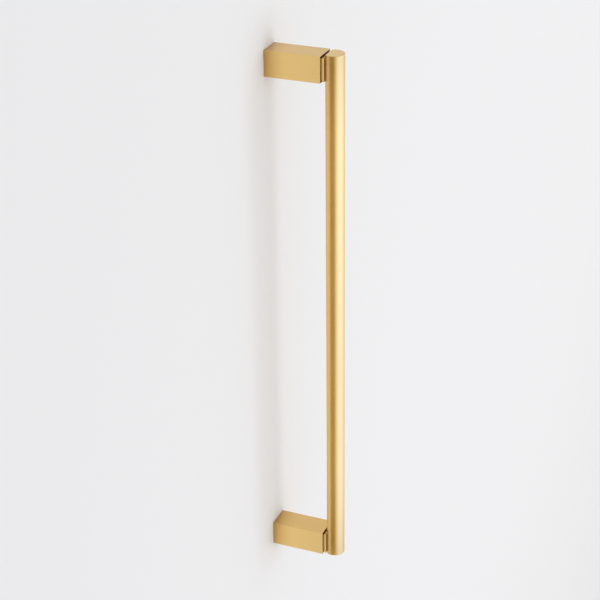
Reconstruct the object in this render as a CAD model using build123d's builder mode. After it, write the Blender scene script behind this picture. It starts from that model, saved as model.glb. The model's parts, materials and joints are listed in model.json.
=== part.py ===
from build123d import *
import math
import os

# Cabinet pull: a D-section brass bar carried on two square posts.
# Millimetres, +Z up along the bar. The backs of the posts lie on the plane Y = 0, against
# the door, and the pull stands out from it towards -Y. The origin is midway between the
# two door bolts.

# Layout
hole_spacing = 320.0  # from door bolt to door bolt
bar_overhang = 0.5  # bar end past the outer face of its post

# Square posts
post_side = 15.9
post_depth = 34.5  # from the door to the reveal groove
post_edge_break = 0.2

# Nose of a post: a reveal groove all round, then a thin pad that seats on the bar's flat
reveal_width = 1.0
reveal_depth = 1.4
pad_thickness = 1.1
pad_inset = 0.9
pad_corner_break = 0.1

# Bar: a round rod with one side milled flat
bar_diameter = 12.7
bar_flat_offset = 3.3  # from the rod's axis to its flat
bar_edge_break = 0.3

# Tapped holes, at the size of their tapping drills
bolt_drill = 3.3  # M4 door bolt
bolt_hole_depth = 18.0
stud_drill = 4.2  # M5 joining stud
thread_runout = 0.8  # hole left below the end of a stud
mouth_chamfer = 0.4
drill_point_angle = 118.0

# Joining studs: headless screws with a hex socket, drawn at the core of their thread
stud_in_post = 9.0
stud_in_bar = 5.0
thread_clearance = 0.05
stud_end_chamfer = 0.4
hex_key = 2.5
hex_socket_depth = 2.2

# Sizes that follow
bar_radius = bar_diameter / 2
bar_length = hole_spacing + post_side + 2 * bar_overhang
neck_side = post_side - 2 * reveal_depth
pad_side = post_side - 2 * pad_inset
pad_start = post_depth + reveal_width
bar_flat = pad_start + pad_thickness
bar_axis = bar_flat + bar_flat_offset
flat_angle = math.degrees(math.asin(bar_flat_offset / bar_radius))
stud_radius = stud_drill / 2 - thread_clearance
stud_length = stud_in_post + stud_in_bar
post_heights = {"upper": hole_spacing / 2, "lower": -hole_spacing / 2}


def facing_out(distance, height):
    """Plane this far from the door at this height, looking away from the door."""
    return Plane(origin=(0, -distance, height), x_dir=(1, 0, 0), z_dir=(0, -1, 0))


def drilled_outline(start, inwards, drill, depth):
    """Half outline of a tapped hole in X and Y: chamfered mouth, wall and drill point.

    The mouth is at Y = start, and inwards is +1 or -1 along Y.
    """
    radius = drill / 2
    point = radius / math.tan(math.radians(drill_point_angle / 2))
    return [
        (0, start),
        (radius + mouth_chamfer, start),
        (radius, start + inwards * mouth_chamfer),
        (radius, start + inwards * depth),
        (0, start + inwards * (depth + point)),
    ]


def make_post(height):
    """A post in one piece: square block, neck under the reveal groove, pad and two holes."""
    hole_axis = Axis((0, 0, height), (0, 1, 0))
    with BuildPart() as post:
        with BuildSketch(facing_out(0, height)):
            Rectangle(post_side, post_side)
        extrude(amount=post_depth)
        fillet(post.edges(), post_edge_break)

        with BuildSketch(facing_out(post_depth, height)):
            Rectangle(neck_side, neck_side)
        extrude(amount=reveal_width)

        with BuildSketch(facing_out(pad_start, height)) as pad:
            Rectangle(pad_side, pad_side)
            fillet(pad.vertices(), pad_corner_break)
        extrude(amount=pad_thickness)

        with BuildSketch(Plane.XY.offset(height)):
            with BuildLine():
                Polyline(*drilled_outline(0, -1, bolt_drill, bolt_hole_depth), close=True)
            make_face()
            with BuildLine():
                Polyline(
                    *drilled_outline(-bar_flat, 1, stud_drill, stud_in_post + thread_runout),
                    close=True,
                )
            make_face()
        revolve(axis=hole_axis, mode=Mode.SUBTRACT)
    return post.part


def make_stud(height):
    """A joining stud, screwed into the bar and into the nose of a post."""
    stud_back = bar_flat - stud_in_post
    with BuildPart() as stud:
        with BuildSketch(facing_out(stud_back, height)):
            Circle(stud_radius)
        extrude(amount=stud_length)
        chamfer(stud.faces().filter_by(Axis.Y).edges(), stud_end_chamfer)

        with BuildSketch(facing_out(stud_back, height)):
            RegularPolygon(hex_key / 2, side_count=6, major_radius=False)
        extrude(amount=hex_socket_depth, mode=Mode.SUBTRACT)
    return stud.part


with BuildPart() as grip_bar:
    with BuildSketch(Plane.XY.offset(-bar_length / 2)):
        with BuildLine():
            round_side = CenterArc(
                (0, -bar_axis), bar_radius, 180 - flat_angle, 180 + 2 * flat_angle
            )
            Line(round_side @ 1, round_side @ 0)
        make_face()
    extrude(amount=bar_length)
    fillet(grip_bar.edges(), bar_edge_break)

    for height in post_heights.values():
        with BuildSketch(Plane.XY.offset(height)):
            with BuildLine():
                Polyline(
                    *drilled_outline(-bar_flat, -1, stud_drill, stud_in_bar + thread_runout),
                    close=True,
                )
            make_face()
        revolve(axis=Axis((0, 0, height), (0, 1, 0)), mode=Mode.SUBTRACT)

pieces = {"grip_bar": grip_bar.part}
for place, height in post_heights.items():
    pieces[place + "_post"] = make_post(height)
    pieces[place + "_stud"] = make_stud(height)

os.makedirs("parts", exist_ok=True)
for name, piece in pieces.items():
    piece.label = name
    export_step(piece, "parts/" + name + ".step")
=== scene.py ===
# %% [markdown]
# # A satin brass cabinet pull
#
# The pull is three pieces of solid brass and two hidden screws. A round bar with one side milled
# flat is the grip. Two square posts carry it, and where each post meets the bar a narrow groove
# runs all round, so that the bar seems to float on a thin pad. This lesson dresses the measured
# frame of that pull: finer meshes for its five pieces, a brushed finish, and the light that makes
# brass look like brass.

# %% Load the measured frame
import json
import math
from collections import namedtuple

import bmesh
import bpy
from mathutils import Matrix, Vector


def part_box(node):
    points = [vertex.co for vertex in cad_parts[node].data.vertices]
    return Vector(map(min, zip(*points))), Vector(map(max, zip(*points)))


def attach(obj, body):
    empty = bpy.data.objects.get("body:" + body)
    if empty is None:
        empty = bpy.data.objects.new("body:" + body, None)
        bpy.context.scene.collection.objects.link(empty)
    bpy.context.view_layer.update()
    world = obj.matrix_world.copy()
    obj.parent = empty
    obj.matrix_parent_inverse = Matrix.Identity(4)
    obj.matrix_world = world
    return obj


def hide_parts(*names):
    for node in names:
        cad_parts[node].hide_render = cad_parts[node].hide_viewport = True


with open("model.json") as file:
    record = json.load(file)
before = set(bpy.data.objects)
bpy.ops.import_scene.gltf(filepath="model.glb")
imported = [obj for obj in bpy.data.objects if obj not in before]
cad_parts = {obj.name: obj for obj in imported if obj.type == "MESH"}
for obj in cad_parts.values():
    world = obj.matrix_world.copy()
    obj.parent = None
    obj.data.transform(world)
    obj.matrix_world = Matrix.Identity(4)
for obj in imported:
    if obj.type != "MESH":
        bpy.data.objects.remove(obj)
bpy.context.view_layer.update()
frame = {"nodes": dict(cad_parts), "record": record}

print("frame nodes:", sorted(frame["nodes"]))

# %% [markdown]
# ## Sizes
#
# A size that the frame already knows is read from it: the bar's radius, the side of a post, the
# place of the flat. The small steps at the nose of a post are inside the post's box, so they are
# written here in millimetres. Distances called "out" are measured from the door towards the
# hand, which is the -Y direction of the frame.

# %% Sizes read from the frame, and the few that are not in it
MM = 0.001

bar_low, bar_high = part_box("grip_bar")
bar_radius = (bar_high.x - bar_low.x) / 2
bar_front = -bar_low.y
bar_flat = -bar_high.y
bar_axis = bar_front - bar_radius

post_low, post_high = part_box("upper_post")
post_half = (post_high.x - post_low.x) / 2
post_heights = {}
for post_name in ("upper_post", "lower_post"):
    low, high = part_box(post_name)
    post_heights[post_name] = (low.z + high.z) / 2

reveal_width = 1.0 * MM
reveal_depth = 1.4 * MM
pad_thickness = 1.1 * MM
pad_inset = 0.9 * MM
post_edge = 0.2 * MM
pad_edge = 0.1 * MM
bar_edge = 0.3 * MM

pad_start = bar_flat - pad_thickness
post_depth = pad_start - reveal_width
neck_half = post_half - reveal_depth
pad_half = post_half - pad_inset
print("bar radius %.2f mm, flat %.2f mm from the door" % (bar_radius / MM, bar_flat / MM))
print("post %.2f mm square, %.2f mm deep" % (2 * post_half / MM, post_depth / MM))

# %% [markdown]
# ## Colour and nodes
#
# Colours are written as the hex values that a paint or web page would use. Blender's shaders
# add and multiply light, so each one is turned to linear light first. One small function adds
# a node, sets it and links it, which keeps each material readable from top to bottom.

# %% Helpers for materials
def linear(hex_colour):
    """Linear RGBA from an sRGB hex colour such as "#E7C075"."""
    shares = [int(hex_colour[i : i + 2], 16) / 255 for i in (1, 3, 5)]
    light = [s / 12.92 if s <= 0.04045 else ((s + 0.055) / 1.055) ** 2.4 for s in shares]
    return (*light, 1.0)


def add_node(tree, kind, inputs=None, **settings):
    """Add a shader node with its settings; an input is a value, or a socket to link from."""
    node = tree.nodes.new(kind)
    for setting, value in settings.items():
        setattr(node, setting, value)
    for key, value in (inputs or {}).items():
        if isinstance(value, bpy.types.NodeSocket):
            tree.links.new(value, node.inputs[key])
        else:
            node.inputs[key].default_value = value
    return node


def new_material(name):
    """An empty node material and its tree."""
    material = bpy.data.materials.new(name)
    material.use_nodes = True
    material.node_tree.nodes.clear()
    return material, material.node_tree


# Sockets of a Mix node that mixes colours; they are numbered, because others have the same names
MIX_SHARE = 0
MIX_UNDER = 6
MIX_OVER = 7
MIX_RESULT = 2
print("a grey of #808080 is", round(linear("#808080")[0], 3), "in linear light")

# %% [markdown]
# ## Satin brushed brass: the scratches
#
# The brass was brushed with a fine abrasive belt along each piece and then lacquered. Brushing
# leaves thousands of shallow parallel scratches. They blur what the metal mirrors, more across
# the scratches than along them, and that blur is what the eye calls satin. An image of brushed
# metal would stretch over the corners. Noise in the object's own coordinates does not: it is
# squeezed across the brushing and drawn out along it.

# %% Scratches left by the belt
# Real scratches are about 0.1 mm apart. They are drawn coarser, so that a render can show them.
SCRATCH_SPACING = 0.35 * MM
SCRATCH_LENGTH = 28 * MM


def belt_scratches(tree, place, along):
    """Fine streaks as a number from 0 to 1; along is the axis of the brushing, 0, 1 or 2."""
    squeeze = [1 / SCRATCH_SPACING] * 3
    squeeze[along] = 1 / SCRATCH_LENGTH
    across = add_node(tree, "ShaderNodeMapping", {"Vector": place, "Scale": squeeze})
    return add_node(
        tree,
        "ShaderNodeTexNoise",
        {"Vector": across.outputs[0], "Scale": 1.0, "Detail": 3.0, "Roughness": 0.6},
    ).outputs["Fac"]


print("scratches %.2f mm apart, %.0f mm long" % (SCRATCH_SPACING / MM, SCRATCH_LENGTH / MM))

# %% [markdown]
# ## Satin brushed brass: the tones
#
# Brushed brass is not one colour. Between the scratches it is a little paler. Where the belt can't
# reach, in the groove and in the holes, it stays as it was cut, dull; there the brass is also
# painted dark, as painted shade for the shade that falls in these recesses. A mesh attribute called
# "as_cut_and_shade" marks those places. Faces that look up or down are painted a little darker than
# the sides, as painted shade for how the light falls on them. And at the foot of each post and over
# the last 70 mm of the bar the brass is painted darker and browner, as painted shade. Each tone
# could have a material of its own, but then the change from one to the next would be a hard edge,
# so they are laid over each other in one chain.

# %% Tones of the brass and its painted shade, laid on in layers
SCRATCH_TONE = "#ECC67C"
RIDGE_TONE = "#F6D288"
# The as-cut tone is also painted shade in the groove, on the rims of the pad and in the holes
AS_CUT_AND_SHADE_TONE = "#54370F"
# Painted shade: faces that look up or down are painted darker than the sides
UP_DOWN_SHADE_TONE = "#C29A5A"
# Painted shade, darker and browner, at the foot of each post and towards the ends of the bar
END_SHADE_TONE = "#A06A14"
# How much of that painted shade the faces that look up or down take
UP_DOWN_SHADE_SHARE = 0.26
UPWARDS = 2

# A face counts as looking along an axis from the first of these cosines, and fully from the second
FACE_STARTS = 0.6
FACE_FULL = 0.95

# The axis of the brushing, and where painted shade darkens the brass towards one end of it
Belt = namedtuple("Belt", "along brown_from brown_to brown_share")


def looking_along(tree, facing, axis, away, square_on):
    """A number that goes from away to square_on as a face turns to look along an axis."""
    part = add_node(tree, "ShaderNodeSeparateXYZ", {0: facing}).outputs[axis]
    cosine = add_node(tree, "ShaderNodeMath", {0: part}, operation="ABSOLUTE").outputs[0]
    limits = {"From Min": FACE_STARTS, "From Max": FACE_FULL, "To Min": away, "To Max": square_on}
    return add_node(tree, "ShaderNodeMapRange", {"Value": cosine, **limits}).outputs[0]


def painted_end_shade(tree, place, facing, belt):
    """How much painted shade darkens the brass: rising towards one end of the belt's axis, on faces
    that don't look along it.
    """
    stroke = add_node(tree, "ShaderNodeSeparateXYZ", {0: place}).outputs[belt.along]
    distance = add_node(tree, "ShaderNodeMath", {0: stroke}, operation="ABSOLUTE").outputs[0]
    near_end = add_node(
        tree,
        "ShaderNodeMapRange",
        {"Value": distance, "From Min": belt.brown_from, "From Max": belt.brown_to},
    ).outputs[0]
    rising = add_node(tree, "ShaderNodeMath", {0: near_end, 1: 2.0}, operation="POWER").outputs[0]
    share = looking_along(tree, facing, belt.along, belt.brown_share, 0.0)
    end_shade = add_node(tree, "ShaderNodeMath", {0: rising, 1: share}, operation="MULTIPLY")
    return end_shade.outputs[0]


def brass_tone(tree, place, facing, belt, scratches, as_cut_and_shade):
    """Colour of the brass; each layer takes its share of what lies under it."""
    # The as-cut layer is partly painted shade; the up-and-down layer and the last layer are painted
    # shade
    layers = [
        (scratches, RIDGE_TONE),
        (as_cut_and_shade, AS_CUT_AND_SHADE_TONE),
        (looking_along(tree, facing, UPWARDS, 0.0, UP_DOWN_SHADE_SHARE), UP_DOWN_SHADE_TONE),
        (painted_end_shade(tree, place, facing, belt), END_SHADE_TONE),
    ]
    tone = linear(SCRATCH_TONE)
    for share, colour in layers:
        inputs = {MIX_SHARE: share, MIX_UNDER: tone, MIX_OVER: linear(colour)}
        tone = add_node(tree, "ShaderNodeMix", inputs, data_type="RGBA").outputs[MIX_RESULT]
    return tone


print("brass in linear light:", [round(c, 3) for c in linear(SCRATCH_TONE)[:3]])

# %% [markdown]
# ## Satin brushed brass: the gloss
#
# Roughness says how much the metal blurs what it mirrors. It follows the scratches, shifts a
# little in soft patches where hands have been, and rises where the metal is as cut. Anisotropy
# spreads the blur across the scratches. The shader has to know which way that is, and a cross
# product tells it: the one of the face's normal and the belt's axis lies in the face, square to
# the belt. The clear lacquer is a coat with a reflection of its own, which makes steep views look
# paler. It is left out of the groove and the holes.

# %% Roughness of the satin
SMUDGE_SIZE = 24 * MM
SMUDGE_ROUGHNESS = 0.012
AS_CUT_ROUGHNESS = 0.12
SATIN_SMOOTHEST = 0.30
SATIN_ROUGHEST = 0.36

# Noise seldom leaves these limits
STREAK_LIMITS = {"From Min": 0.3, "From Max": 0.7}
PATCH_LIMITS = {"From Min": 0.35, "From Max": 0.65}


def satin_roughness(tree, place, scratches, as_cut_and_shade):
    """Roughness of the brushed metal, with smudges, and rougher where it is as cut."""
    satin = add_node(
        tree,
        "ShaderNodeMapRange",
        {"Value": scratches, **STREAK_LIMITS, "To Min": SATIN_SMOOTHEST, "To Max": SATIN_ROUGHEST},
    ).outputs[0]
    smudges = add_node(
        tree,
        "ShaderNodeTexNoise",
        {"Vector": place, "Scale": 1 / SMUDGE_SIZE, "Detail": 2.0, "Roughness": 0.5},
    ).outputs["Fac"]
    handled = add_node(
        tree,
        "ShaderNodeMapRange",
        {"Value": smudges, **PATCH_LIMITS, "To Min": -SMUDGE_ROUGHNESS, "To Max": SMUDGE_ROUGHNESS},
    ).outputs[0]
    polish = add_node(tree, "ShaderNodeMath", {0: satin, 1: handled}, operation="ADD").outputs[0]
    return add_node(
        tree,
        "ShaderNodeMath",
        {0: as_cut_and_shade, 1: AS_CUT_ROUGHNESS, 2: polish},
        operation="MULTIPLY_ADD",
    ).outputs[0]


print("roughness of the satin:", SATIN_SMOOTHEST, "to", SATIN_ROUGHEST)

# %% The brass of the bar and of the posts
SCRATCH_DEPTH = 0.02 * MM
LACQUER = 0.35

# The belt's axis leans a little, so that the ends of a piece, which face along it, have a direction
BELT_LEAN = 0.02


def satin_brass(name, belt):
    """Brushed and lacquered brass."""
    material, tree = new_material(name)
    place = add_node(tree, "ShaderNodeTexCoord").outputs["Object"]
    facing = add_node(tree, "ShaderNodeNewGeometry").outputs["Normal"]
    # This attribute marks as-cut metal, and painted shade in the groove, on the rims and in the
    # holes
    as_cut_and_shade = add_node(tree, "ShaderNodeAttribute", attribute_name="as_cut_and_shade").outputs["Fac"]
    scratches = belt_scratches(tree, place, belt.along)

    belt_axis = [BELT_LEAN] * 3
    belt_axis[belt.along] = 1.0
    across_belt = add_node(
        tree, "ShaderNodeVectorMath", {0: facing, 1: belt_axis}, operation="CROSS_PRODUCT"
    ).outputs[0]
    lacquer = add_node(
        tree, "ShaderNodeMapRange", {"Value": as_cut_and_shade, "To Min": LACQUER, "To Max": 0.0}
    ).outputs[0]
    relief = add_node(
        tree,
        "ShaderNodeBump",
        {"Height": scratches, "Strength": 0.12, "Distance": SCRATCH_DEPTH},
    ).outputs[0]
    surface = add_node(
        tree,
        "ShaderNodeBsdfPrincipled",
        {
            "Base Color": brass_tone(tree, place, facing, belt, scratches, as_cut_and_shade),
            "Metallic": 1.0,
            "Roughness": satin_roughness(tree, place, scratches, as_cut_and_shade),
            "Anisotropic": 0.7,
            "Tangent": across_belt,
            "Normal": relief,
            "Coat Weight": lacquer,
            "Coat Roughness": 0.22,
        },
    )
    add_node(tree, "ShaderNodeOutputMaterial", {"Surface": surface.outputs[0]})
    return material


# Painted shade darkens the last 70 mm of the bar and the 14 mm of each post next to the door
SHADE_AT_BAR_END = 70 * MM
SHADE_AT_POST_FOOT = 14 * MM
bar_belt = Belt(
    along=2, brown_from=bar_high.z - SHADE_AT_BAR_END, brown_to=bar_high.z, brown_share=0.26
)
post_belt = Belt(along=1, brown_from=SHADE_AT_POST_FOOT, brown_to=0.0, brown_share=0.55)
bar_brass = satin_brass("satin_brass_brushed_lengthwise", bar_belt)
post_brass = satin_brass("satin_brass_brushed_outwards", post_belt)
print("materials:", bar_brass.name, post_brass.name)

# %% [markdown]
# ## Zinc-plated steel
#
# The studs inside are ordinary headless screws of steel under a thin coat of zinc. Zinc is a pale
# bluish grey and settles in soft patches of about 1.5 mm, some a little lighter than others, so
# one noise between two greys is enough. Nothing shows them until the pull is taken apart.

# %% Steel for the hidden studs
PLATING_PATCH = 1.5 * MM

plated_steel, steel_tree = new_material("zinc_plated_steel")
steel_place = add_node(steel_tree, "ShaderNodeTexCoord").outputs["Object"]
patches = add_node(
    steel_tree,
    "ShaderNodeTexNoise",
    {"Vector": steel_place, "Scale": 1 / PLATING_PATCH, "Detail": 2.0},
).outputs["Fac"]
plating = add_node(
    steel_tree,
    "ShaderNodeMix",
    {MIX_SHARE: patches, MIX_UNDER: linear("#A7ABB0"), MIX_OVER: linear("#C3C6C9")},
    data_type="RGBA",
).outputs[MIX_RESULT]
steel_surface = add_node(
    steel_tree,
    "ShaderNodeBsdfPrincipled",
    {"Base Color": plating, "Metallic": 1.0, "Roughness": 0.38},
)
add_node(steel_tree, "ShaderNodeOutputMaterial", {"Surface": steel_surface.outputs[0]})
print("material:", plated_steel.name)

# %% [markdown]
# ## Skinning rings
#
# The bar, the posts and the studs are each one outline followed along an axis, so all are made
# the same way: a list of rings with the same number of points, joined by strips of quads. A ring
# of one point closes an end to a tip. Extruding and bevelling by hand would give the same faces,
# but a list of rings keeps every size where it can be read.

# %% A closed mesh over a list of rings
def skin_rings(name, rings, as_cut_and_shade=None):
    """Join rings of points with quads; end rings of one point become tips, others are capped.

    as_cut_and_shade, where given, is one number per point for the attribute of that name, which
    marks as-cut metal and painted shade.
    """
    form = bmesh.new()
    rows = [[form.verts.new(point) for point in ring] for ring in rings]
    for row, next_row in zip(rows, rows[1:]):
        count = max(len(row), len(next_row))
        for i in range(count):
            j = (i + 1) % count
            if len(row) == 1:
                form.faces.new((row[0], next_row[j], next_row[i]))
            elif len(next_row) == 1:
                form.faces.new((row[i], row[j], next_row[0]))
            else:
                form.faces.new((row[i], row[j], next_row[j], next_row[i]))
    for row in (rows[0], rows[-1]):
        if len(row) > 1:
            form.faces.new(row)
    bmesh.ops.recalc_face_normals(form, faces=form.faces)
    mesh = bpy.data.meshes.new(name)
    form.to_mesh(mesh)
    form.free()

    if as_cut_and_shade:
        # The attribute marks as-cut metal and painted shade
        mesh.attributes.new("as_cut_and_shade", "FLOAT", "POINT").data.foreach_set("value", as_cut_and_shade)
    piece = bpy.data.objects.new(name, mesh)
    bpy.context.scene.collection.objects.link(piece)
    return piece


def smooth_piece(piece, sharp_degrees=35):
    """Shade smooth except at sharp edges, with large flat faces keeping their own normals."""
    piece.data.shade_smooth()
    piece.data.set_sharp_from_angle(angle=math.radians(sharp_degrees))
    weighted = piece.modifiers.new("flat_faces_first", "WEIGHTED_NORMAL")
    weighted.keep_sharp = True
    weighted.weight = 100  # the most that a large face can count


def quarter_round(radius, steps=4):
    """Pairs (inset, advance) round a quarter circle, from side to end, for easing an edge."""
    turns = [0.5 * math.pi * i / steps for i in range(steps + 1)]
    return [(radius * (1 - math.cos(t)), radius * math.sin(t)) for t in turns]


eased = [(round(inset / MM, 3), round(rise / MM, 3)) for inset, rise in quarter_round(post_edge)]
print("a post's eased edge, in mm:", eased)

# %% [markdown]
# ## The grip bar
#
# The bar is round stock with a flat milled along the back, so its section is a D. The corners
# where the flat meets the round are eased a little, as is the rim at each end. The D is written
# as three arcs, the round side and the two small corners, and a straight back between them.
# Easing the ends is then only a matter of drawing the same D with slightly smaller radii.

# %% The D section
ROUND_STEPS = 150
CORNER_STEPS = 6
BACK_STEPS = 15

# The corners are a little rounder than the end rims, so that no radius shrinks to nothing there
corner_radius = bar_edge + 0.05 * MM


def arc_points(centre, radius, start, end, steps):
    """Points on an arc in plan, with angles in radians from +X towards +Y."""
    angles = [start + (end - start) * i / steps for i in range(steps + 1)]
    return [(centre[0] + radius * math.cos(a), centre[1] + radius * math.sin(a)) for a in angles]


def d_section(inset):
    """Plan outline of the bar, all round, drawn in by inset."""
    corner_y = -(bar_flat + corner_radius)
    corner_x = math.sqrt((bar_radius - corner_radius) ** 2 - (bar_axis + corner_y) ** 2)
    corner_turn = math.atan2(bar_axis + corner_y, corner_x)
    small = corner_radius - inset
    quarter = math.pi / 2
    round_start = math.pi - corner_turn
    round_end = math.tau + corner_turn
    right = arc_points((corner_x, corner_y), small, corner_turn, quarter, CORNER_STEPS)
    left = arc_points((-corner_x, corner_y), small, quarter, round_start, CORNER_STEPS)
    back_y = corner_y + small
    back = [(corner_x * (1 - 2 * i / BACK_STEPS), back_y) for i in range(1, BACK_STEPS)]
    front = arc_points((0, -bar_axis), bar_radius - inset, round_start, round_end, ROUND_STEPS)
    return right + back + left + front[1:-1]


print("points round the D:", len(d_section(0)))

# %% The bar, from its lower end to its upper end
LENGTH_STEPS = 30


def bar_ring(inset, height):
    """The D section at one height."""
    return [(x, y, height) for x, y in d_section(inset)]


rim_low = bar_low.z + bar_edge
rim_high = bar_high.z - bar_edge
bar_rings = []
for inset, rise in reversed(quarter_round(bar_edge)):
    bar_rings.append(bar_ring(inset, rim_low - rise))
for i in range(1, LENGTH_STEPS):
    bar_rings.append(bar_ring(0, rim_low + (rim_high - rim_low) * i / LENGTH_STEPS))
for inset, rise in quarter_round(bar_edge):
    bar_rings.append(bar_ring(inset, rim_high + rise))
grip = skin_rings("grip", bar_rings)
print("grip:", len(grip.data.vertices), "points,", len(bar_rings), "rings")

# %% [markdown]
# ## Threads and tapped holes
#
# Six holes in the pull are tapped: one in the back of each post for a door bolt, and one in its
# nose and one in the bar for the stud that joins them. Each is what a drill and a tap leave: a
# small countersink, a helical groove, a short run-out and a cone. A thread could be swept along
# a helix. It is simpler to look at one slice of it, which is a circle that swells once on its way
# round. Such rings, each turned a little from the one before, stack up to a right-hand thread,
# and a stud drawn with the same formula, a little smaller, fits its hole.

# %% Sizes of the two threads
thread_clearance = 0.05 * MM
stud_low, stud_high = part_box("upper_stud")
stud_back = -stud_high.y
stud_front = -stud_low.y
stud_core = (stud_high.x - stud_low.x) / 2 + thread_clearance
bolt_core = frame["record"]["mounts"][0]["dims"]["hole_r_mm"] * MM

# M5 for the studs, which nobody sees, with fewer rings than the M4 of the door bolts
Thread = namedtuple("Thread", "core major pitch rings_per_turn")
stud_thread = Thread(core=stud_core, major=2.5 * MM, pitch=0.8 * MM, rings_per_turn=8)
bolt_thread = Thread(core=bolt_core, major=2.0 * MM, pitch=0.7 * MM, rings_per_turn=12)
print("stud core %.2f mm, bolt core %.2f mm" % (stud_core / MM, bolt_core / MM))

# %% One slice of a thread
HOLE_POINTS = 72
CORNER_POINTS = 5

# Shares of half a pitch: flat at the core, then the flank; the rest is flat at full depth
CREST_SHARE = 0.18
FLANK_SHARE = 0.66

# Points are counted from a corner, so that round rings and square rings join without a twist
first_angle = math.pi / 4 - math.tau * (CORNER_POINTS // 2) / HOLE_POINTS
ring_angles = [first_angle + math.tau * i / HOLE_POINTS for i in range(HOLE_POINTS)]


def circle_ring(radius, out, height):
    """A ring round a post's axis; radius is a number, or one number per point."""
    radii = radius if isinstance(radius, list) else [radius] * HOLE_POINTS
    return [(r * math.cos(a), -out, height + r * math.sin(a)) for r, a in zip(radii, ring_angles)]


def thread_radii(thread, out):
    """Radius of a tapped thread all round, this far out from the door."""
    radii = []
    for i in range(HOLE_POINTS):
        phase = (out / thread.pitch - i / HOLE_POINTS) % 1.0
        flank = (abs(2 * phase - 1) - CREST_SHARE) / FLANK_SHARE
        radii.append(thread.core + min(max(flank, 0.0), 1.0) * (thread.major - thread.core))
    return radii


slice_radii = [radius / MM for radius in thread_radii(bolt_thread, 0.0)]
print("a slice of the M4 thread: radius %.2f to %.2f mm" % (min(slice_radii), max(slice_radii)))

# %% Rings of a whole tapped hole
DRILL_POINT = math.radians(118)
countersink_lip = 0.1 * MM


def tapped_hole(thread, mouth, inwards, tapped, straight, height):
    """Rings of a hole from its mouth to the drill's tip; inwards is +1 or -1 along out.

    The tapped length is followed by one pitch of run-out, a straight length and the drill's cone.
    """
    rings = []
    steps = round(tapped / thread.pitch * thread.rings_per_turn)
    for i in range(steps + 1):
        depth = tapped * i / steps
        out = mouth + inwards * depth
        countersink = thread.major + countersink_lip - depth
        radii = [max(radius, countersink) for radius in thread_radii(thread, out)]
        rings.append(circle_ring(radii, out, height))

    depth = tapped + thread.pitch
    rings.append(circle_ring(thread.core, mouth + inwards * depth, height))
    if straight:
        depth += straight
        rings.append(circle_ring(thread.core, mouth + inwards * depth, height))
    depth += thread.core / math.tan(DRILL_POINT / 2)
    rings.append([(0, -(mouth + inwards * depth), height)])
    return rings


stud_in_bar = stud_front - bar_flat
stud_in_post = bar_flat - stud_back
print("a stud is %.1f mm in the bar, %.1f mm in the post" % (stud_in_bar / MM, stud_in_post / MM))

# %% [markdown]
# ## Holes in the flat
#
# The studs screw into two blind holes in the flat, hidden under the pads. A boolean cuts them,
# which is the simplest way to put a round hole in a flat made of long strips: the cutter is the
# hole itself as a solid, with its countersink drawn on past the flat so that no faces coincide.

# %% Drill and tap the two blind holes
CUTTER_PROUD = 1.0 * MM


def drill_into_bar(height):
    """Cut one stud's hole into the flat of the bar."""
    hole = tapped_hole(stud_thread, bar_flat, 1, stud_in_bar, 0.0, height)
    past_flat = stud_thread.major + countersink_lip + CUTTER_PROUD
    hole[0] = circle_ring(past_flat, bar_flat - CUTTER_PROUD, height)
    cutter = skin_rings("cutter", hole)
    cut = grip.modifiers.new("drilled", "BOOLEAN")
    cut.operation = "DIFFERENCE"
    cut.object = cutter
    bpy.context.view_layer.update()
    evaluated = grip.evaluated_get(bpy.context.evaluated_depsgraph_get())
    drilled = bpy.data.meshes.new_from_object(evaluated)
    grip.modifiers.clear()
    grip.data = drilled
    bpy.data.objects.remove(cutter)


for height in post_heights.values():
    drill_into_bar(height)
grip.data.materials.clear()
grip.data.materials.append(bar_brass)
smooth_piece(grip)
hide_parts("grip_bar")
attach(grip, "root")
print("grip with holes:", len(grip.data.vertices), "points")

# %% [markdown]
# ## The posts
#
# Each post is milled from square bar: block, groove, pad. It is the same idea as turning on a
# lathe, except that the outline is followed round a square with eased corners and not round a
# circle. At the back the square closes on the tapped hole for the door bolt, which is the one
# thing to see when the pull is held in the hand. At the nose it closes on the stud's hole.

# %% Square rings round a post's axis
SIDE_POINTS = HOLE_POINTS // 4 - CORNER_POINTS


def square_ring(half, corner, out, height):
    """A square of this half side, with corners eased by corner, round a post's axis."""
    flat = half - corner
    points = []
    for quarter in range(4):
        turn = Matrix.Rotation(quarter * math.pi / 2, 2)
        eased_corner = arc_points((flat, flat), corner, 0, math.pi / 2, CORNER_POINTS - 1)
        side = [(flat * (1 - 2 * i / (SIDE_POINTS + 1)), half) for i in range(1, SIDE_POINTS + 1)]
        points += [turn @ Vector(point) for point in eased_corner + side]
    return [(p.x, -out, height + p.y) for p in points]


print("points round a post:", len(square_ring(post_half, post_edge, 0.0, 0.0)))

# %% [markdown]
# ## Where the belt can't reach on a post, and painted shade
#
# The belt finishes the block well, the rims of the pad less well and the groove least of all, and
# the marks also paint shade into the brass: the groove, the rims of the block and the pad and the
# holes are painted darker where shade falls, and in the groove the ledges above and below the neck
# are painted the darkest. Such marks could be painted by hand, but paint is lost when a size
# changes, so each ring carries a mark instead: how much of it is as cut or in painted shade, from 0
# to 1, on the sides of the post and on its ledges.

# %% Marks for the as_cut_and_shade attribute: as cut and painted shade
Mark = namedtuple("Mark", "sides ledges")
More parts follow.
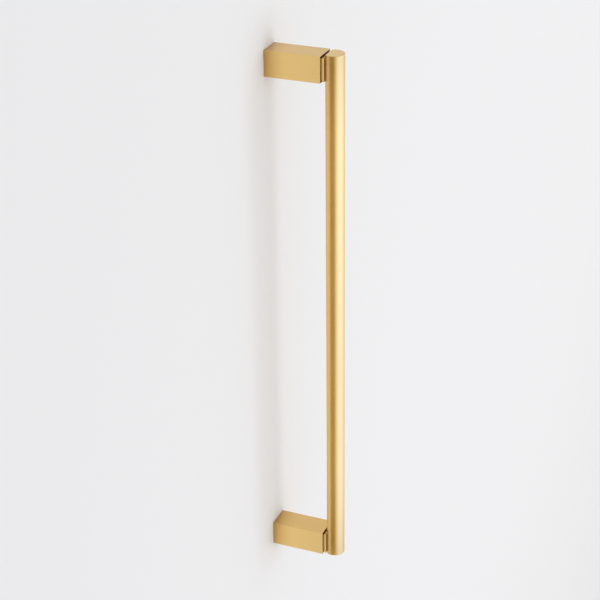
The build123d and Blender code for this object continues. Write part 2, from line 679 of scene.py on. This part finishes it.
# Marks above zero also paint shade; the ledges in the groove and the tapped holes are painted
# darkest
BRUSHED = Mark(sides=0.0, ledges=0.0)
BACK_FACE = Mark(sides=0.15, ledges=0.15)
BLOCK_RIM = Mark(sides=0.07, ledges=0.04)
GROOVE_WALL = Mark(sides=0.44, ledges=0.9)
GROOVE_FLOOR = Mark(sides=0.37, ledges=0.9)
PAD_BACK_RIM = Mark(sides=0.12, ledges=0.45)
PAD_FRONT_RIM = Mark(sides=0.16, ledges=0.45)
PAD_FACE = Mark(sides=0.2, ledges=0.2)
TAPPED = Mark(sides=1.0, ledges=1.0)
print("floor of the groove:", GROOVE_FLOOR)

# %% One post, from the bottom of its bolt hole to the bottom of its stud hole
bolt_hole_depth = 18 * MM
bolt_tapped = 13 * MM
bolt_straight = bolt_hole_depth - bolt_tapped - bolt_thread.pitch

# Too small to show: the least radius of a corner, and the width of a change of mark
SEAM = 0.02 * MM
# Round its mouth, the dark of the hole, as cut and painted shade, fades to the back face over this
# width
MOUTH_LAND = 0.1 * MM
# From here outwards the sides are painted very slightly darker towards the rim of the block, as
# painted shade
RIM_SHADE_START = 15 * MM
# Wide enough an angle to keep the flanks of the thread smooth
POST_SHARP_DEGREES = 60


def build_post(name, height):
    """The whole post as one list of rings, with an as_cut_and_shade mark for each point: as-cut
    metal and painted shade.
    """
    rings = []
    marks = []

    def add_ring(points, mark):
        rings.append(points)
        for x, _, z in points:
            marks.append(mark.ledges if abs(z - height) > abs(x) else mark.sides)

    def add_square(half, corner, out, mark):
        add_ring(square_ring(half, corner, out, height), mark)

    bolt_hole = tapped_hole(bolt_thread, 0.0, 1, bolt_tapped, bolt_straight, height)
    for hole_ring in reversed(bolt_hole):
        add_ring(hole_ring, TAPPED)
    mouth = bolt_thread.major + countersink_lip + MOUTH_LAND
    add_ring(circle_ring(mouth, 0.0, height), BACK_FACE)

    block_face = post_half - post_edge - SEAM
    add_square(block_face, SEAM, 0.0, BACK_FACE)
    for inset, rise in reversed(quarter_round(post_edge)):
        add_square(post_half - inset, post_edge + SEAM - inset, post_edge - rise, BRUSHED)
    add_square(post_half, post_edge + SEAM, RIM_SHADE_START, BRUSHED)
    for inset, rise in quarter_round(post_edge):
        out = post_depth - post_edge + rise
        add_square(post_half - inset, post_edge + SEAM - inset, out, BLOCK_RIM)
    add_square(block_face, SEAM, post_depth, GROOVE_WALL)

    add_square(neck_half, pad_edge, post_depth, GROOVE_WALL)
    add_square(neck_half, pad_edge, post_depth + SEAM, GROOVE_FLOOR)
    add_square(neck_half, pad_edge, pad_start - SEAM, GROOVE_FLOOR)
    add_square(neck_half, pad_edge, pad_start, GROOVE_WALL)

    pad_face = pad_half - pad_edge - SEAM
    add_square(pad_face, SEAM, pad_start, GROOVE_WALL)
    for inset, rise in reversed(quarter_round(pad_edge)):
        out = pad_start + pad_edge - rise
        add_square(pad_half - inset, pad_edge + SEAM - inset, out, PAD_BACK_RIM)
    for inset, rise in quarter_round(pad_edge):
        out = bar_flat - pad_edge + rise
        add_square(pad_half - inset, pad_edge + SEAM - inset, out, PAD_FRONT_RIM)
    add_square(pad_face, SEAM, bar_flat, PAD_FACE)

    for hole_ring in tapped_hole(stud_thread, bar_flat, -1, stud_in_post, 0.0, height):
        add_ring(hole_ring, TAPPED)

    post = skin_rings(name, rings, marks)
    post.data.materials.append(post_brass)
    smooth_piece(post, POST_SHARP_DEGREES)
    return post


for node_name, height in post_heights.items():
    post = build_post(node_name.replace("_post", "_standoff"), height)
    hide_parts(node_name)
    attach(post, "root")
    print(post.name, "at", round(height / MM, 1), "mm:", len(post.data.polygons), "faces")

# %% [markdown]
# ## The studs
#
# A stud is a headless screw, threaded from end to end. Both ends are cut to a cone so that it
# starts easily, and the back end has a hex socket for the key that drives it home. It is one more
# list of rings: out of the socket, over the rim and along the thread, where the cone at each end
# cuts the thread away.

# %% Two headless screws
hex_key = 2.5 * MM
socket_depth = 2.2 * MM
end_chamfer = 0.4 * MM
stud_end_radius = stud_core - thread_clearance - end_chamfer


def hex_ring(out, height):
    """A ring round the hex socket."""
    sixth = math.tau / 6
    radii = [hex_key / 2 / math.cos(angle % sixth - sixth / 2) for angle in ring_angles]
    return circle_ring(radii, out, height)


def build_stud(name, height):
    """A headless screw, from the floor of its socket to its front end."""
    socket_floor = stud_back + socket_depth
    rings = [[(0, -socket_floor, height)]]
    rings.append(hex_ring(socket_floor, height))
    rings.append(hex_ring(stud_back, height))

    length = stud_front - stud_back
    steps = round(length / stud_thread.pitch * stud_thread.rings_per_turn)
    for i in range(steps + 1):
        out = stud_back + length * i / steps
        cone = stud_end_radius + min(out - stud_back, stud_front - out)
        radii = [min(radius - thread_clearance, cone) for radius in thread_radii(stud_thread, out)]
        rings.append(circle_ring(radii, out, height))
    rings.append([(0, -stud_front, height)])

    stud = skin_rings(name, rings)
    stud.data.materials.append(plated_steel)
    smooth_piece(stud)
    return stud


for node_name in ("upper_stud", "lower_stud"):
    height = post_heights[node_name.replace("_stud", "_post")]
    stud = build_stud(node_name.replace("_stud", "_screw"), height)
    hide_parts(node_name)
    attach(stud, "root")
    print(stud.name, "at", round(height / MM, 1), "mm:", len(stud.data.polygons), "faces")

# %% [markdown]
# ## The door and the floor
#
# A pull is seen against the door it is fixed to, and metal is mostly a picture of its
# surroundings: without the pale door close behind, the sides of the posts would go dark. The
# door is one sheet with a square left open behind each post, so that the bolt holes can be seen
# from behind, and its back face lets the eye through for the same reason. The floor is far below,
# out of the bar's reflection. Both wear eggshell paint, a matt film with hardly any sheen, which
# shows the eye its colour and soft shadows and mirrors nothing.

# %% Sheets in eggshell paint
def sheet_piece(name, cells, material):
    """A flat piece made of four-cornered cells."""
    mesh = bpy.data.meshes.new(name)
    corners = [corner for cell in cells for corner in cell]
    mesh.from_pydata(corners, [], [range(4 * i, 4 * i + 4) for i in range(len(cells))])
    mesh.materials.append(material)
    piece = bpy.data.objects.new(name, mesh)
    bpy.context.scene.collection.objects.link(piece)
    return piece


def stage_sheet(name, cells, colour, one_sided):
    """A painted stage piece; one that is one-sided can be looked through from behind."""
    material, tree = new_material(name + "_paint")
    paint = add_node(
        tree,
        "ShaderNodeBsdfPrincipled",
        {"Base Color": linear(colour), "Roughness": 0.8, "Specular IOR Level": 0.1},
    ).outputs[0]
    if one_sided:
        clear = add_node(tree, "ShaderNodeBsdfTransparent").outputs[0]
        behind = add_node(tree, "ShaderNodeNewGeometry").outputs["Backfacing"]
        paint = add_node(tree, "ShaderNodeMixShader", {0: behind, 1: paint, 2: clear}).outputs[0]
    add_node(tree, "ShaderNodeOutputMaterial", {"Surface": paint})
    sheet = sheet_piece(name, cells, material)
    return sheet


door_low = -1.6
floor_reach = 0.9
floor_cell = [
    (-floor_reach, -floor_reach, door_low),
    (floor_reach, -floor_reach, door_low),
    (floor_reach, floor_reach, door_low),
    (-floor_reach, floor_reach, door_low),
]
floor = stage_sheet("floor", [floor_cell], "#E6E4E0", one_sided=False)
print(floor.name, "at", door_low, "m")

# %% The white door
door_left = -2.0
door_right = 3.0
door_high = 2.0
foot_half = post_half - post_edge


def upright_cell(left, right, low, high, out):
    """Four corners of an upright rectangle that faces the hand, this far out from the door."""
    return [(left, -out, low), (right, -out, low), (right, -out, high), (left, -out, high)]


columns = [door_left, -foot_half, foot_half, door_right]
rows = [door_low]
for height in sorted(post_heights.values()):
    rows += [height - foot_half, height + foot_half]
rows.append(door_high)
door_cells = []
for i, (left, right) in enumerate(zip(columns, columns[1:])):
    for j, (bottom, top) in enumerate(zip(rows, rows[1:])):
        behind_a_post = i == 1 and j % 2 == 1
        if not behind_a_post:
            door_cells.append(upright_cell(left, right, bottom, top, 0))
door = stage_sheet("door", door_cells, "#F2F2F4", one_sided=True)
print("door panels:", len(door.data.polygons))

# %% [markdown]
# ## Light on the door
#
# One big soft lamp stands straight in front of the door, to the right of the pull. It lights the
# door and lays the soft shadow of the pull on it. Brass would show the lamp as a plain white
# square, so the lamp is kept out of reflections, and the next steps build what the brass mirrors.

# %% A soft lamp for the door
LAMP_SIDE = 1.87
LAMP_BRIGHTNESS = 1.26  # where 1.0 would look just white
lamp_place = (0.58, -1.94, -0.2)
towards_door = Matrix.Rotation(math.pi / 2, 4, "X")

lamp = bpy.data.lights.new("door_light", "AREA")
lamp.shape = "RECTANGLE"
lamp.size = LAMP_SIDE
lamp.size_y = LAMP_SIDE
lamp.energy = LAMP_BRIGHTNESS * math.pi * LAMP_SIDE**2
door_light = bpy.data.objects.new("door_light", lamp)
door_light.matrix_world = Matrix.Translation(lamp_place) @ towards_door
door_light.visible_camera = False
door_light.visible_glossy = False
bpy.context.scene.collection.objects.link(door_light)
print("door light:", round(lamp.energy, 1), "W")

# %% [markdown]
# ## A window for the brass to mirror
#
# What tells the eye that a thing is metal is a bright shape with edges in its reflection. Here it
# is a wide glowing window in front of the door, bluish in the middle, greyer to its sides and a
# little brighter in its upper part. It makes the broad bright band on the round of the bar. A lamp
# could do that too, but a mesh can have a gradient. Only reflections see it, so it adds no light
# to the door and casts no shadow.

# %% The glowing window
WINDOW_GLOW = 2.88
BRIGHTER_UPPER_PART = 1.12
BRIGHTER_FROM = -0.47
BRIGHTER_TO = -0.29
TONE_REACH = 1.1
window_middle = -0.055

window_material, window_tree = new_material("window_glow")
window_place = add_node(window_tree, "ShaderNodeTexCoord").outputs["Object"]
from_middle = add_node(
    window_tree,
    "ShaderNodeMapping",
    {
        "Vector": window_place,
        "Location": (-window_middle / TONE_REACH, 0, 0),
        "Scale": (1 / TONE_REACH, 0, 0),
    },
).outputs[0]
middle = add_node(
    window_tree, "ShaderNodeTexGradient", {"Vector": from_middle}, gradient_type="SPHERICAL"
).outputs["Fac"]
window_tone = add_node(
    window_tree,
    "ShaderNodeMix",
    {MIX_SHARE: middle, MIX_UNDER: linear("#ACAA9E"), MIX_OVER: linear("#A8C1FF")},
    data_type="RGBA",
).outputs[MIX_RESULT]
up_window = add_node(window_tree, "ShaderNodeSeparateXYZ", {0: window_place}).outputs["Z"]
window_strength = add_node(
    window_tree,
    "ShaderNodeMapRange",
    {
        "Value": up_window,
        "From Min": BRIGHTER_FROM,
        "From Max": BRIGHTER_TO,
        "To Min": WINDOW_GLOW,
        "To Max": BRIGHTER_UPPER_PART * WINDOW_GLOW,
    },
).outputs[0]
glow = add_node(
    window_tree, "ShaderNodeEmission", {"Color": window_tone, "Strength": window_strength}
).outputs[0]
add_node(window_tree, "ShaderNodeOutputMaterial", {"Surface": glow})
print("window glow:", WINDOW_GLOW, "to", round(BRIGHTER_UPPER_PART * WINDOW_GLOW, 2))

# %% The window in its place
window_left = -1.0
window_right = 1.3
window_low = -1.1
window_high = 0.12
window_out = 1.0


def show_only_in_reflections(piece):
    """Hide a piece from the camera, from diffuse light and from shadows."""
    piece.visible_camera = False
    piece.visible_diffuse = False
    piece.visible_shadow = False


window_cell = upright_cell(window_left, window_right, window_low, window_high, window_out)
window = sheet_piece("window", [window_cell], window_material)
show_only_in_reflections(window)
print("window: %.1f by %.2f m" % (window_right - window_left, window_high - window_low))

# %% [markdown]
# ## A dark line along the round bar
#
# A round bar looks round when one darker line runs along it. In a studio a narrow strip of card,
# held close beside the bar, gives that line, because there the brass mirrors the card and not the
# bright room. Here a straw-coloured strip stands 5 mm beside the bar, on the camera's side. Only
# reflections see it, so it hides nothing. Close to the bar it stays out of the posts' reflections.

# %% A straw-coloured strip beside the bar
strip_beside = -0.0113
strip_in = 0.0372
strip_out = 0.0460
strip_low = -0.172
strip_high = 0.168

strip_cell = [
    (strip_beside, -strip_in, strip_low),
    (strip_beside, -strip_in, strip_high),
    (strip_beside, -strip_out, strip_high),
    (strip_beside, -strip_out, strip_low),
]
strip = stage_sheet("ochre_card", [strip_cell], "#D3C696", one_sided=False)
show_only_in_reflections(strip)
print("strip %.1f mm beside the bar" % ((-strip_beside - bar_radius) / MM))

# %% [markdown]
# ## A pale studio all round
#
# The rest of the room is one pale grey, which a world shader gives without any walls. Camera rays,
# mirrored rays and rays through clear surfaces find it at full strength, so the background and
# the reflections are as pale as the colour is written. As a light on the door it is a little
# weaker, so that the white door doesn't wash out.

# %% The world
FILL_STRENGTH = 0.83

world = bpy.data.worlds.new("pale_studio")
bpy.context.scene.world = world
world.use_nodes = True
sky = world.node_tree
sky.nodes.clear()
rays = add_node(sky, "ShaderNodeLightPath").outputs
seen = rays["Is Camera Ray"]
for kind in ("Is Glossy Ray", "Is Transmission Ray"):
    seen = add_node(sky, "ShaderNodeMath", {0: seen, 1: rays[kind]}, operation="MAXIMUM").outputs[0]
strength = add_node(
    sky, "ShaderNodeMapRange", {"Value": seen, "To Min": FILL_STRENGTH, "To Max": 1.0}
).outputs[0]
studio = add_node(
    sky, "ShaderNodeBackground", {"Color": linear("#EEEEED"), "Strength": strength}
).outputs[0]
add_node(sky, "ShaderNodeOutputWorld", {"Surface": studio})
print("world:", world.name, "with fill", FILL_STRENGTH)

# %% [markdown]
# ## Camera
#
# The photograph looks along the door from the left, a little in front of it and from above.
# Azimuth is counted from straight in front of the door, and elevation from level. The long lens
# keeps the posts nearly parallel, and the small roll is how the picture was held. A camera can be
# placed by eye; this one was fitted to the edges of the posts, so that the render can be laid over
# the photograph.

# %% The photograph's view
AZIMUTH = math.radians(-67.385)
ELEVATION = math.radians(26.505)
ROLL = math.radians(-0.664)
LENS = 101.37
SENSOR = 36.0
camera_place = Vector((-0.8492, -0.3712, 0.4680))

backwards = Vector(
    (
        math.sin(AZIMUTH) * math.cos(ELEVATION),
        -math.cos(AZIMUTH) * math.cos(ELEVATION),
        math.sin(ELEVATION),
    )
)
sideways = Vector((0, 0, 1)).cross(backwards).normalized()
turned = Matrix((sideways, backwards.cross(sideways), backwards)).transposed()
turned = turned @ Matrix.Rotation(ROLL, 3, "Z")
camera_data = bpy.data.cameras.new("camera")
camera_data.lens = LENS
camera_data.sensor_width = SENSOR
camera = bpy.data.objects.new("camera", camera_data)
camera.matrix_world = Matrix.Translation(camera_place) @ turned.to_4x4()
bpy.context.scene.collection.objects.link(camera)
bpy.context.scene.camera = camera
bpy.context.scene.view_settings.view_transform = "Standard"
print("camera at", [round(c, 4) for c in camera.matrix_world.translation])
